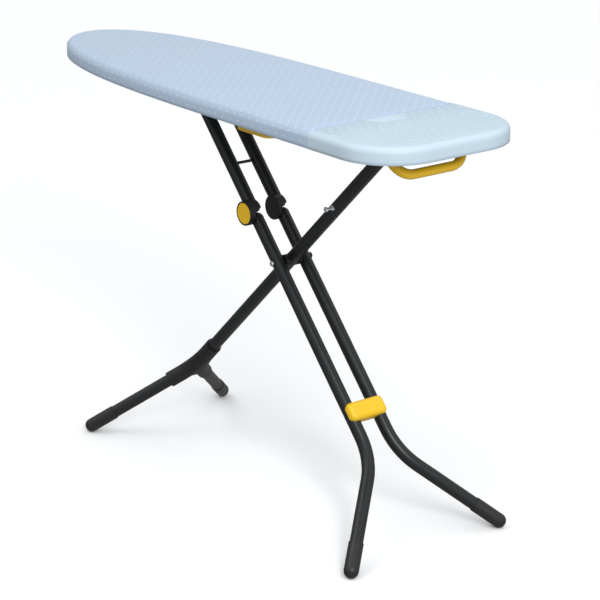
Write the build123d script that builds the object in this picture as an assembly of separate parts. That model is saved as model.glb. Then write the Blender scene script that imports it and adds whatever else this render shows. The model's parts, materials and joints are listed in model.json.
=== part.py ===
"""Folding ironing board: padded top with a silicone iron rest, carried on a scissor leg frame.

Frame: millimetres, +Z up, origin under the middle of the board on the floor.
+X runs towards the square end with the iron rest, the nose points to -X, left is -Y.
The single rear leg turns about an axle in a bracket under the board. The double front leg
crosses it at one pivot bolt, and its top axle slides in two slotted rails under the board.
"""
from build123d import *
import os
from math import atan2, cos, degrees, hypot, pi, radians, sin, tan

# ---------------------------------------------------------------- driving dimensions
TOP_HEIGHT = 807.6          # floor to the highest relief on the iron rest
BOARD_LENGTH = 1202.2
BOARD_WIDTH = 355.6
EDGE_DEPTH = 32.1           # height of the padded edge all round the board
TOP_EDGE_RADIUS = 12.3
NOSE_LENGTH = 885.4         # length of the tapering part of the outline
NOSE_LONG_POWER = 3.8       # superellipse powers of the taper
NOSE_WIDE_POWER = 2.11
SQUARE_CORNER_RADIUS = 109.4
REST_LENGTH = 207.0         # iron rest, measured from the square end
RELIEF_HEIGHT = 0.8         # raised marks and plaque on the iron rest
REST_TAB_LENGTH = 100.0     # plaque at the seam, along the seam
REST_TAB_DEPTH = 30.0
REST_TAB_TAPER = 22.0       # each side of the plaque runs in by this much
FABRIC_STEP = 0.4           # the fabric lies this much below the silicone skin
COVER_WALL = 3.0
FOAM_THICKNESS = 8.0
SHEET_THICKNESS = 1.2
SHEET_INSET = 6.0           # steel sheet edge, inside the outline
MESH_PITCH = 40.0           # diamond openings in the steel sheet
MESH_OPENING = 24.0
RIM_WALL = 1.5
RIM_DEPTH = 16.0
RIM_FLANGE = 12.0
NOSE_RIB_GAP = 54.7         # from the nose end of the rails to the first rib
MIDDLE_RIB_GAP = 38.5       # from the other end of the rails to the second rib
REST_RIB_GAP = 122.8        # from the rear axle back to the third rib
RIB_WIDTH = 30.0
RIB_DEPTH = 10.0
RIB_WALL = 1.2

TUBE_RADIUS = 12.7
TUBE_WALL = 1.2
PIVOT_X = 117.1             # leg crossing, from the middle of the board
PIVOT_DROP = 283.2          # below the two top axles
TUBE_SPACING = 62.8         # between the two tubes of the front leg
AXLE_DROP = 23.5            # both top axles, below the padded edge
AXLE_RADIUS = 5.0
FRONT_LEAN = 42.475         # front leg, degrees from upright
REAR_LEAN = 46.236          # rear leg, degrees from upright
FOOT_WALL = 1.5             # rubber round the tube end
FOOT_SKIRT = 58.0           # cap length above the ball of the foot
FRONT_FOOT_SPREAD = 362.6   # between the balls of the feet
REAR_FOOT_SPREAD = 341.0
FRONT_BEND_RUN = 188.8      # from the corner of the outward bend to the ball of the foot
FRONT_BEND_RADIUS = 140.0
REAR_FORK_RUN = 209.7       # from the corner where the rear leg forks to the ball of the foot
FORK_BEND_RADIUS = 130.0
TUBE_END_FRONT = 13.0       # tube left above each top axle
TUBE_END_REAR = 12.0

SLEEVE_WALL = 3.8
FORK_SLEEVE_RISE = 82.5     # upper mouth of the fork moulding, above the fork corner
FORK_SLEEVE_REACH = 70.0    # lower mouths of the fork moulding, from the fork corner
FORK_WEB_LENGTH = 38.0      # moulded web between the branches, from the fork corner
FORK_WEB_WIDTHS = (28.0, 52.0)
FORK_WEB_HEIGHT = 26.0
FORK_ARCH_RADIUS = 24.0     # arch cut into the web between the branches
FORK_ARCH_PLACE = 52.0
FORK_SOCKET_DEPTH = 40.0
KNUCKLE_DISTANCE = 114.7    # knuckle axis above the pivot
KNUCKLE_RIM = 3.3           # drum wall round the button
KNUCKLE_OUTER_REACH = 25.0  # left drum, from its tube axis to its outer face
KNUCKLE_INNER_REACH = 2.5
KNUCKLE_NECK_GAP = 2.0      # upper tube end, clear of the drum
SPIGOT_LENGTH = 24.0
LOWER_TUBE_START = 4.0      # domed end of the lower tube, below the knuckle axis
BUTTON_RADIUS = 21.0
BUTTON_THICKNESS = 4.5
BUTTON_TRAVEL = 3.0
BUTTON_STEM_RADIUS = 5.0
BUTTON_STEM_LENGTH = 5.0
SPRING_ROOM = 6.0           # bore left behind the pressed stem for the spring
SPREADER_DISTANCE = 223.0   # thin rod above the pivot
SPREADER_RADIUS = 3.0
CLIP_ABOVE_BEND = 93.8      # middle of the leg clip above the outward bend
CLIP_LENGTH = 37.4
CLIP_END_INSET = 1.6        # each end, inside the outer flank of its tube
CLIP_THICKNESS = 8.8        # clip over the tubes
CLIP_SKIRT = 3.0
CLIP_ROUNDING = 10.0
STUD_DISTANCE = 201.0       # chrome stop stud above the pivot on the rear leg
STUD_LENGTH = 18.3
STUD_SHANK_RADIUS = 2.5
STUD_HEAD_RADIUS = 5.0
STUD_BASE_RADIUS = 5.2
BOLT_RADIUS = 4.0
BOLT_HEAD_RADIUS = 5.5
NUT_THICKNESS = 3.4
COLLAR_RADIUS = 12.4

RAIL_GAP = 28.6             # inner face of each slotted rail, from the tube axis beside it
RAIL_THICKNESS = 2.0
RAIL_FLANGE = 18.0
RAIL_MARGIN = 11.0          # rail left beyond each end of the slot travel
ROLLER_RADIUS = 9.0
ROLLER_WIDTH = 8.0
SHAFT_GAP = 32.0            # release shaft, outside the left rail
SHAFT_RISE = 4.0            # release shaft, above the top axles
SHAFT_RADIUS = 4.0
SHAFT_OVERHANG = 17.0       # shaft beyond the first latch arm
LOCK_RAIL_WIDTH = 10.0
LOCK_RAIL_THICKNESS = 4.0
LOCK_TOOTH_PITCH = 6.0
LOCK_TOOTH_DEPTH = 0.8
LATCH_ARM_INSET = 60.0      # outer latch arms, inside the ends of the rails
LATCH_ARM_THICKNESS = 4.0
LATCH_ARM_FOOT = 2.0        # depth of an arm under the lock rail
LATCH_HUB_WALL = 3.0
BEARING_LENGTH = 16.0
BEARING_GAP = 13.0          # bearings, from the rib and the lever beside them
LEVER_START = 111.5
LEVER_LENGTH = 110.0
LEVER_REACH = 40.0          # lever edge, outside the release shaft
LEVER_THICKNESS = 9.0
LEVER_DROP = 26.7           # lever face, below the padded edge

BRACKET_EAR_GAP = 3.3       # each bracket ear, from the rear tube
BRACKET_THICKNESS = 2.5
BRACKET_LENGTH = 60.0
BRACKET_WIDTH = 96.0
HANDLE_INSET = 72.2         # grip axis, inside the square end
HANDLE_DROP = 39.6          # grip axis, below the padded edge
HANDLE_WIDTH = 163.6        # between the arm axes
HANDLE_CORNER = 38.0
HANDLE_TILT = 53.8
HANDLE_GRIP_WIDTH = 17.0
HANDLE_GRIP_DEPTH = 19.0
PAD_THICKNESS = 4.0         # handle pads under the sheet
PAD_LENGTH = 32.0
PAD_WIDTH = 48.0
PAD_SCREW_OFFSET = 16.5     # each screw, beside the arm axis
SCREW_RADIUS = 2.0
SCREW_HEAD_RADIUS = 4.0
SCREW_HEAD_DEPTH = 2.4

SLIDE_FIT = 0.05            # radial clearance where a pin turns or slides in its hole
FIXED_FIT = 0.02            # radial clearance where a pin is held in its hole
PART_GAP = 0.3              # between surfaces of pieces that move past each other
SEAT_GAP = 0.1              # between soft layers
SLOT_RISE = 2.9             # room above the axle for the arc that it takes half way
SLOT_DROP = 0.6

# ---------------------------------------------------------------- derived places
X_END = BOARD_LENGTH / 2
X_NOSE = -BOARD_LENGTH / 2 - FABRIC_STEP
X_SHOULDER = X_NOSE + NOSE_LENGTH
X_SEAM = X_END - REST_LENGTH
REST_TOP = TOP_HEIGHT - RELIEF_HEIGHT
FABRIC_TOP = REST_TOP - FABRIC_STEP
EDGE_BOTTOM = TOP_HEIGHT - EDGE_DEPTH
AXLE_Z = EDGE_BOTTOM - AXLE_DROP
PIVOT_Z = AXLE_Z - PIVOT_DROP
SHEET_TOP = FABRIC_TOP - COVER_WALL - SEAT_GAP - FOAM_THICKNESS
SHEET_BOTTOM = SHEET_TOP - SHEET_THICKNESS
PAD_RADIUS = min(TOP_EDGE_RADIUS - COVER_WALL, FOAM_THICKNESS - 1)
PAD_INSET = max(SEAT_GAP, TOP_EDGE_RADIUS - COVER_WALL - PAD_RADIUS)
HALF_SPACING = TUBE_SPACING / 2
BORE_RADIUS = TUBE_RADIUS - TUBE_WALL
SLEEVE_RADIUS = TUBE_RADIUS + SLEEVE_WALL
FOOT_RADIUS = TUBE_RADIUS + FOOT_WALL
KNUCKLE_RADIUS = BUTTON_RADIUS + KNUCKLE_RIM
KNUCKLE_NECK = KNUCKLE_RADIUS + KNUCKLE_NECK_GAP
RAIL_OFFSET = HALF_SPACING + RAIL_GAP
SHAFT_OFFSET = RAIL_OFFSET + SHAFT_GAP
SHAFT_Z = AXLE_Z + SHAFT_RISE
LEVER_BOTTOM = EDGE_BOTTOM - LEVER_DROP
BRACKET_EAR_OFFSET = TUBE_RADIUS + BRACKET_EAR_GAP
HANDLE_BAR_X = X_END - HANDLE_INSET
HANDLE_BAR_Z = EDGE_BOTTOM - HANDLE_DROP

front_top = (AXLE_Z - PIVOT_Z) / cos(radians(FRONT_LEAN))    # pivot to top axle
rear_top = (AXLE_Z - PIVOT_Z) / cos(radians(REAR_LEAN))
front_foot = (PIVOT_Z - FOOT_RADIUS) / cos(radians(FRONT_LEAN))
rear_foot = (PIVOT_Z - FOOT_RADIUS) / cos(radians(REAR_LEAN))
front_bend = front_foot - FRONT_BEND_RUN
fork_corner = rear_foot - REAR_FORK_RUN
fork_mouth = fork_corner - FORK_SLEEVE_RISE
clip_middle = front_bend - CLIP_ABOVE_BEND
front_axle_x = PIVOT_X - front_top * sin(radians(FRONT_LEAN))
rear_axle_x = PIVOT_X + rear_top * sin(radians(REAR_LEAN))
FOLDED_ANGLE = 6.5          # left between the two legs when folded
folded_rear = FOLDED_ANGLE * front_top / (front_top + rear_top)
folded_front = FOLDED_ANGLE - folded_rear
folded_axle_x = (rear_axle_x - rear_top * cos(radians(folded_rear))
                 - front_top * cos(radians(folded_front)))
RAIL_START = folded_axle_x - AXLE_RADIUS - RAIL_MARGIN
RAIL_END = front_axle_x + AXLE_RADIUS + RAIL_MARGIN - PART_GAP
RIB_POSITIONS = (RAIL_START - NOSE_RIB_GAP, RAIL_END + MIDDLE_RIB_GAP, rear_axle_x - REST_RIB_GAP)
LATCH_ARM_POSITIONS = (RAIL_START + LATCH_ARM_INSET, (RAIL_START + RAIL_END) / 2,
                       RAIL_END - LATCH_ARM_INSET)
SHAFT_BEARING_POSITIONS = (sum(LATCH_ARM_POSITIONS[:2]) / 2,
                           RIB_POSITIONS[1] + RIB_WIDTH / 2 + BEARING_GAP + BEARING_LENGTH / 2,
                           LEVER_START - BEARING_GAP - BEARING_LENGTH / 2)
SHAFT_START = LATCH_ARM_POSITIONS[0] - SHAFT_OVERHANG

front_plane = Plane(origin=(PIVOT_X, 0, PIVOT_Z),
                    x_dir=(sin(radians(FRONT_LEAN)), 0, -cos(radians(FRONT_LEAN))),
                    z_dir=(cos(radians(FRONT_LEAN)), 0, sin(radians(FRONT_LEAN))))
rear_plane = Plane(origin=(PIVOT_X, 0, PIVOT_Z),
                   x_dir=(-sin(radians(REAR_LEAN)), 0, -cos(radians(REAR_LEAN))),
                   z_dir=(cos(radians(REAR_LEAN)), 0, -sin(radians(REAR_LEAN))))

nodes = {}


# ---------------------------------------------------------------- small helpers
def block(x0, x1, y0, y1, z0, z1):
    """A box between two corners."""
    return Pos((x0 + x1) / 2, (y0 + y1) / 2, (z0 + z1) / 2) * Box(x1 - x0, y1 - y0, z1 - z0)


def pin_y(x, z, y0, y1, radius):
    """A round bar along Y."""
    return Pos(x, (y0 + y1) / 2, z) * Rot(90, 0, 0) * Cylinder(radius, y1 - y0)


def pin_x(y, z, x0, x1, radius):
    """A round bar along X."""
    return Pos((x0 + x1) / 2, y, z) * Rot(0, 90, 0) * Cylinder(radius, x1 - x0)


def pin_z(x, y, z0, z1, radius):
    """A round bar along Z."""
    return Pos(x, y, (z0 + z1) / 2) * Cylinder(radius, z1 - z0)


def pipe(path, outer, inner):
    """A tube, or a bar with inner=0, along a planar path."""
    section = Circle(outer) - Circle(inner) if inner else Circle(outer)
    return sweep(Plane(path @ 0, z_dir=path % 0) * section, path=path)


def edges_at(solid, axis, place):
    """Edges that lie wholly at one place along an axis."""
    return solid.edges().filter_by_position(axis, place - 0.01, place + 0.01)


def bent_route(start, corner, end, radius):
    """A straight run, a bend of one radius and a second straight run."""
    return FilletPolyline(start, corner, end, radius=radius)


def half_width(x, inset=0.0):
    """Half the width of the board outline, drawn in by inset, at x."""
    along = max(0.0, (X_SHOULDER - x) / (NOSE_LENGTH - inset))
    return (BOARD_WIDTH / 2 - inset) * (1 - along ** NOSE_LONG_POWER) ** (1 / NOSE_WIDE_POWER)


def outline(inset):
    """The face inside the board outline, drawn in by inset."""
    steps = 10
    points = []
    for i in range(-steps, steps + 1):
        x = X_SHOULDER - (NOSE_LENGTH - inset) * (1 - (i / steps) ** 2)
        points.append((x, half_width(x, inset) * (1 if i > 0 else -1)))
    corner = SQUARE_CORNER_RADIUS - inset
    x_end = X_END - inset
    y_side = BOARD_WIDTH / 2 - inset
    taper = Spline(*points, tangents=[(-1, 0), (1, 0)])
    end = Line((x_end, y_side - corner), (x_end, corner - y_side))
    side = Line((X_SHOULDER, y_side), (x_end - corner, y_side))
    turn_in = RadiusArc((x_end - corner, y_side), (x_end, y_side - corner), corner)
    return make_face([taper, side, turn_in, end, mirror(turn_in, about=Plane.XZ),
                      mirror(side, about=Plane.XZ)])


def slab(inset, z0, z1, edge_radius=0.0):
    """The outline extruded between two heights, with its top edge rounded."""
    solid = extrude(Pos(0, 0, z0) * outline(inset), z1 - z0)
    if edge_radius:
        solid = fillet(edges_at(solid, Axis.Z, z1), edge_radius)
    return solid


def skin(inset, top):
    """The padded skin: top and side wall in one shell, open below."""
    outer = slab(inset, EDGE_BOTTOM, top, TOP_EDGE_RADIUS)
    inner = slab(inset + COVER_WALL, EDGE_BOTTOM, top - COVER_WALL, TOP_EDGE_RADIUS - COVER_WALL)
    return outer - inner


def clip_x(solid, x0, x1):
    """The part of a solid between two places along X."""
    return solid & block(x0, x1, -BOARD_WIDTH, BOARD_WIDTH, 0, 2 * TOP_HEIGHT)


def keep(name, solid):
    """Record a finished node."""
    nodes[name] = solid


# ---------------------------------------------------------------- board top
def make_top():
    keep("fabric_cover", clip_x(skin(FABRIC_STEP, FABRIC_TOP), 2 * X_NOSE, X_SEAM))
    pad = slab(FABRIC_STEP + COVER_WALL + PAD_INSET, SHEET_TOP,
               FABRIC_TOP - COVER_WALL - SEAT_GAP, PAD_RADIUS)
    keep("foam_pad", clip_x(pad, 2 * X_NOSE, X_SEAM - SEAT_GAP))

    rest = clip_x(skin(0, REST_TOP), X_SEAM, 2 * X_END)
    tab = Polygon((X_SEAM, -REST_TAB_LENGTH / 2), (X_SEAM, REST_TAB_LENGTH / 2),
                  (X_SEAM + REST_TAB_DEPTH, REST_TAB_LENGTH / 2 - REST_TAB_TAPER),
                  (X_SEAM + REST_TAB_DEPTH, REST_TAB_TAPER - REST_TAB_LENGTH / 2),
                  align=None)
    tab = fillet(tab.vertices().sort_by(Axis.X)[2:], REST_TAB_DEPTH / 3)
    keep("iron_rest", rest + extrude(Pos(0, 0, REST_TOP) * tab, RELIEF_HEIGHT, dir=(0, 0, 1)))
    plate = slab(COVER_WALL + PAD_INSET, SHEET_TOP, REST_TOP - COVER_WALL - SEAT_GAP,
                 PAD_RADIUS)
    keep("rest_plate", clip_x(plate, X_SEAM + SEAT_GAP, 2 * X_END))


def diamond_field():
    """Diamond openings that stay clear of the sheet edge, the ribs and the rails."""
    margin = SHEET_INSET + RIM_FLANGE + MESH_OPENING / 2
    places = []
    columns = int(BOARD_LENGTH / MESH_PITCH)
    rows = int(BOARD_WIDTH / MESH_PITCH) + 1
    for i in range(columns):
        x = X_NOSE + MESH_PITCH * (i + 1)
        for j in range(-rows, rows + 1):
            y = MESH_PITCH * (j + 0.5 * (i % 2))
            if abs(y) > half_width(x, margin) or x > X_END - margin - MESH_PITCH:
                continue
            if x > X_END - SQUARE_CORNER_RADIUS and abs(y) > BOARD_WIDTH / 2 - margin - MESH_PITCH:
                continue
            if min(abs(x - rib) for rib in RIB_POSITIONS) < (RIB_WIDTH + MESH_OPENING) / 2:
                continue
            if any(hypot(x - sx, y - sy) < MESH_OPENING for sx, sy in screw_places()):
                continue
            places.append((x, y))
    return places


def make_frame():
    opening = Rot(0, 0, 45) * Rectangle(MESH_OPENING * 0.7, MESH_OPENING * 0.7)
    sheet = outline(SHEET_INSET)
    sheet -= Sketch() + [Pos(x, y) * opening for x, y in diamond_field()]
    sheet -= Sketch() + [Pos(x, y) * Circle(SCREW_RADIUS + FIXED_FIT) for x, y in screw_places()]
    keep("top_sheet", extrude(Pos(0, 0, SHEET_BOTTOM) * sheet, SHEET_THICKNESS))

    rim_bottom = SHEET_BOTTOM - RIM_DEPTH
    wall = outline(SHEET_INSET) - outline(SHEET_INSET + RIM_WALL)
    flange = outline(SHEET_INSET) - outline(SHEET_INSET + RIM_FLANGE)
    rim = extrude(Pos(0, 0, rim_bottom) * wall, RIM_DEPTH)
    keep("edge_rim", rim + extrude(Pos(0, 0, rim_bottom) * flange, RIM_WALL))

    for number, x in enumerate(RIB_POSITIONS, start=1):
        reach = min(half_width(x - RIB_WIDTH / 2), half_width(x + RIB_WIDTH / 2))
        reach -= SHEET_INSET + RIM_WALL + 1
        rib = block(x - RIB_WIDTH / 2, x + RIB_WIDTH / 2, -reach, reach,
                    SHEET_BOTTOM - RIB_DEPTH, SHEET_BOTTOM)
        inner = RIB_WIDTH / 2 - RIB_WALL
        keep(f"cross_rib_{number}", rib - block(x - inner, x + inner, -reach, reach,
                                                SHEET_BOTTOM - RIB_DEPTH + RIB_WALL, SHEET_BOTTOM))


# ---------------------------------------------------------------- rails and bracket
def rail_screws():
    y = RAIL_OFFSET + RAIL_THICKNESS + RAIL_FLANGE / 2
    return [(x, side * y) for side in (-1, 1) for x in (RAIL_START + 12, RAIL_END - 12)]


def bracket_screws():
    return [(rear_axle_x + i * BRACKET_LENGTH / 3, j * BRACKET_WIDTH * 0.38)
            for i in (-1, 1) for j in (-1, 1)]


def bearing_screws():
    return [(x, -SHAFT_OFFSET - 16) for x in SHAFT_BEARING_POSITIONS]


def pad_screws():
    return [(handle_pad_x(), side * HANDLE_WIDTH / 2 + i * PAD_SCREW_OFFSET)
            for side in (-1, 1) for i in (-1, 1)]


def handle_pad_x():
    """Where the sloping arms of the grip meet the sheet."""
    return HANDLE_BAR_X - (SHEET_BOTTOM - HANDLE_BAR_Z) / tan(radians(HANDLE_TILT))


def screw_places():
    return rail_screws() + bracket_screws() + bearing_screws() + pad_screws()


def screw_holes(places, depth):
    """Clearance holes for screws through a flange under the sheet."""
    return [pin_z(x, y, SHEET_BOTTOM - depth, SHEET_BOTTOM, SCREW_RADIUS + FIXED_FIT)
            for x, y in places]


def make_rails():
    rail_bottom = AXLE_Z - AXLE_RADIUS - SLOT_DROP - 6
    slot_low = AXLE_Z - AXLE_RADIUS - SLOT_DROP
    slot_high = AXLE_Z + AXLE_RADIUS + SLOT_RISE
    slot_half = (slot_high - slot_low) / 2
    slot_start = folded_axle_x - AXLE_RADIUS - 2
    slot_end = front_axle_x + AXLE_RADIUS + 1
    for name, side in (("rail_left", -1), ("rail_right", 1)):
        web_outer = RAIL_OFFSET + RAIL_THICKNESS
        y_web = sorted((side * RAIL_OFFSET, side * web_outer))
        y_flange = sorted((side * RAIL_OFFSET, side * (web_outer + RAIL_FLANGE)))
        rail = block(RAIL_START, RAIL_END, *y_web, rail_bottom, SHEET_BOTTOM)
        rail += block(RAIL_START, RAIL_END, *y_flange, SHEET_BOTTOM - RAIL_THICKNESS, SHEET_BOTTOM)
        slot = block(slot_start + slot_half, slot_end - slot_half, *y_web, slot_low, slot_high)
        middle = (slot_low + slot_high) / 2
        slot += pin_y(slot_start + slot_half, middle, *y_web, slot_half)
        slot += pin_y(slot_end - slot_half, middle, *y_web, slot_half)
        rail -= slot
        for hole in screw_holes([p for p in rail_screws() if p[1] * side > 0], RAIL_THICKNESS):
            rail -= hole
        keep(name, rail)


def make_rear_bracket():
    x = rear_axle_x
    base = block(x - BRACKET_LENGTH / 2, x + BRACKET_LENGTH / 2, -BRACKET_WIDTH / 2,
                 BRACKET_WIDTH / 2, SHEET_BOTTOM - BRACKET_THICKNESS, SHEET_BOTTOM)
    for side in (-1, 1):
        y = sorted((side * BRACKET_EAR_OFFSET, side * (BRACKET_EAR_OFFSET + BRACKET_THICKNESS)))
        ear = Polygon((x - BRACKET_LENGTH / 2, SHEET_BOTTOM), (x + BRACKET_LENGTH / 2, SHEET_BOTTOM),
                      (x + 12, AXLE_Z - 12), (x - 12, AXLE_Z - 12), align=None)
        ear = fillet(ear.vertices().sort_by(Axis.Y)[:2], 8)
        base += extrude(Plane(origin=(0, y[1], 0), x_dir=(1, 0, 0), z_dir=(0, -1, 0)) * ear,
                        BRACKET_THICKNESS, dir=(0, -1, 0))
    base -= pin_y(x, AXLE_Z, -BRACKET_WIDTH, BRACKET_WIDTH, AXLE_RADIUS + FIXED_FIT)
    for hole in screw_holes(bracket_screws(), BRACKET_THICKNESS):
        base -= hole
    keep("rear_bracket", base)

    ear_outer = BRACKET_EAR_OFFSET + BRACKET_THICKNESS
    axle = pin_y(x, AXLE_Z, -ear_outer, ear_outer + 4, AXLE_RADIUS)
    keep("rear_axle", axle + pin_y(x, AXLE_Z, -ear_outer - 4, -ear_outer, AXLE_RADIUS + 3))
    clip = pin_y(x, AXLE_Z, ear_outer, ear_outer + 2, AXLE_RADIUS + 3)
    keep("rear_axle_clip", clip - pin_y(x, AXLE_Z, ear_outer, ear_outer + 2, AXLE_RADIUS + FIXED_FIT))


def make_handle():
    """U-shaped grip that slopes down under the square end, on two pads screwed to the sheet."""
    half = HANDLE_WIDTH / 2
    reach = (SHEET_BOTTOM - HANDLE_BAR_Z) / sin(radians(HANDLE_TILT)) + HANDLE_GRIP_DEPTH
    route = FilletPolyline((-reach, -half), (0, -half), (0, half), (-reach, half),
                           radius=HANDLE_CORNER)
    section = RectangleRounded(HANDLE_GRIP_WIDTH, HANDLE_GRIP_DEPTH, HANDLE_GRIP_WIDTH / 2 - 0.5)
    grip = sweep(Plane(route @ 0, x_dir=(0, 1, 0), z_dir=route % 0) * section, path=route)
    grip = Pos(HANDLE_BAR_X, 0, HANDLE_BAR_Z) * Rot(0, HANDLE_TILT, 0) * grip
    grip -= block(0, X_END, -BOARD_WIDTH / 2, BOARD_WIDTH / 2, SHEET_BOTTOM, 2 * TOP_HEIGHT)
    x = handle_pad_x()
    for side in (-1, 1):
        y = side * half
        pad = block(x - PAD_LENGTH / 2, x + PAD_LENGTH / 2, y - PAD_WIDTH / 2, y + PAD_WIDTH / 2,
                    SHEET_BOTTOM - PAD_THICKNESS, SHEET_BOTTOM)
        grip += fillet(pad.edges().filter_by(Axis.Z), 6)
    for hole in screw_holes(pad_screws(), PAD_THICKNESS):
        grip -= hole
    keep("carry_handle", grip)


def screw(x, y, seat_depth):
    """A pan-head screw driven up through a flange of the given depth."""
    seat = SHEET_BOTTOM - seat_depth
    head = pin_z(x, y, seat - SCREW_HEAD_DEPTH, seat, SCREW_HEAD_RADIUS)
    head = fillet(edges_at(head, Axis.Z, seat - SCREW_HEAD_DEPTH), 1.2)
    return head + pin_z(x, y, seat, SHEET_TOP, SCREW_RADIUS)


def make_screws():
    groups = (("rail_screws", rail_screws(), RAIL_THICKNESS),
              ("bracket_screws", bracket_screws(), BRACKET_THICKNESS),
              ("bearing_screws", bearing_screws(), RAIL_THICKNESS),
              ("handle_screws", pad_screws(), PAD_THICKNESS))
    for name, places, depth in groups:
        keep(name, Compound([screw(x, y, depth) for x, y in places]))


# ---------------------------------------------------------------- height release
def lock_rail_top():
    return AXLE_Z - ROLLER_RADIUS - PART_GAP


def make_release():
    shaft_y = -SHAFT_OFFSET
    keep("release_shaft", pin_x(shaft_y, SHAFT_Z, SHAFT_START, LEVER_START + LEVER_LENGTH - 8,
                                SHAFT_RADIUS))
    bearings = []
    for x in SHAFT_BEARING_POSITIONS:
        x0, x1 = x - BEARING_LENGTH / 2, x + BEARING_LENGTH / 2
        body = block(x0, x1, shaft_y - 8, shaft_y + 8, SHAFT_Z - 8, SHEET_BOTTOM)
        body = fillet(edges_at(body, Axis.Z, SHAFT_Z - 8).filter_by(Axis.X), 6)
        body += block(x0, x1, shaft_y - 24, shaft_y, SHEET_BOTTOM - RAIL_THICKNESS, SHEET_BOTTOM)
        body -= pin_x(shaft_y, SHAFT_Z, x0, x1, SHAFT_RADIUS + SLIDE_FIT)
        bearings.append(body - screw_holes([(x, shaft_y - 16)], RAIL_THICKNESS)[0])
    keep("shaft_bearings", Compound(bearings))

    rail_y = RAIL_OFFSET + RAIL_THICKNESS + 1
    top = lock_rail_top()
    start, end = RAIL_START + 2, RAIL_END
    teeth = int((end - start) / LOCK_TOOTH_PITCH)
    profile = [(start, top - LOCK_RAIL_THICKNESS)]
    for i in range(teeth):
        profile.append((start + i * LOCK_TOOTH_PITCH, top))
        profile.append((start + (i + 1) * LOCK_TOOTH_PITCH, top - LOCK_TOOTH_DEPTH))
    profile.append((start + teeth * LOCK_TOOTH_PITCH, top - LOCK_RAIL_THICKNESS))
    side_view = Plane(origin=(0, -rail_y, 0), x_dir=(1, 0, 0), z_dir=(0, -1, 0))
    strip = side_view * Polygon(*profile, align=None)
    keep("lock_rail", extrude(strip, LOCK_RAIL_WIDTH, dir=(0, -1, 0)))

    low = top - LOCK_RAIL_THICKNESS
    hub = SHAFT_RADIUS + LATCH_HUB_WALL
    arms = []
    for x in LATCH_ARM_POSITIONS:
        shape = Polygon((shaft_y - hub, SHAFT_Z), (shaft_y, SHAFT_Z - hub),
                        (-rail_y - LOCK_RAIL_WIDTH, low - LATCH_ARM_FOOT), (-rail_y, low - LATCH_ARM_FOOT),
                        (-rail_y, low), (-rail_y - LOCK_RAIL_WIDTH - 2, low),
                        (shaft_y + hub, SHAFT_Z), align=None)
        plane = Plane(origin=(x - LATCH_ARM_THICKNESS / 2, 0, 0), x_dir=(0, 1, 0), z_dir=(1, 0, 0))
        arm = extrude(plane * shape, LATCH_ARM_THICKNESS, dir=(1, 0, 0))
        arm += pin_x(shaft_y, SHAFT_Z, x - 5, x + 5, hub)
        arms.append(arm - pin_x(shaft_y, SHAFT_Z, x - 6, x + 6, SHAFT_RADIUS + FIXED_FIT))
    keep("latch_arms", Compound(arms))

    x0, x1 = LEVER_START, LEVER_START + LEVER_LENGTH
    blade = block(x0, x1, shaft_y - LEVER_REACH, shaft_y, LEVER_BOTTOM, LEVER_BOTTOM + LEVER_THICKNESS)
    outer = blade.edges().filter_by(Axis.Z).group_by(Axis.Y)[0]
    blade = fillet(outer, 22)
    blade = fillet(edges_at(blade, Axis.Z, LEVER_BOTTOM), LEVER_THICKNESS / 2.5)
    hub = pin_x(shaft_y, SHAFT_Z, x0 + 8, x1 - 8, SHAFT_RADIUS + 4)
    lever = blade + hub - pin_x(shaft_y, SHAFT_Z, x0 - 1, x1 + 1, SHAFT_RADIUS + FIXED_FIT)
    keep("release_lever", lever)

    spring_x = SHAFT_BEARING_POSITIONS[1] + BEARING_LENGTH / 2
    spring = pin_x(shaft_y, SHAFT_Z, spring_x, spring_x + 18, SHAFT_RADIUS + 2.2)
    keep("release_spring", spring - pin_x(shaft_y, SHAFT_Z, spring_x, spring_x + 18,
                                          SHAFT_RADIUS + PART_GAP))


# ---------------------------------------------------------------- feet
def foot_cap(place, heading):
    """Rubber cap with a ball end, closed over the end of a tube that runs along heading."""
    body = Pos(-FOOT_SKIRT / 2, 0, 0) * Rot(0, 90, 0) * Cylinder(FOOT_RADIUS, FOOT_SKIRT)
    body = chamfer(edges_at(body, Axis.X, -FOOT_SKIRT), 0.5)
    body += Sphere(FOOT_RADIUS)
    depth = FOOT_SKIRT - 6
    body -= Pos(-FOOT_SKIRT + depth / 2, 0, 0) * Rot(0, 90, 0) * Cylinder(TUBE_RADIUS + FIXED_FIT, depth)
    return Pos(*place) * Rot(0, 0, heading) * body


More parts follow.
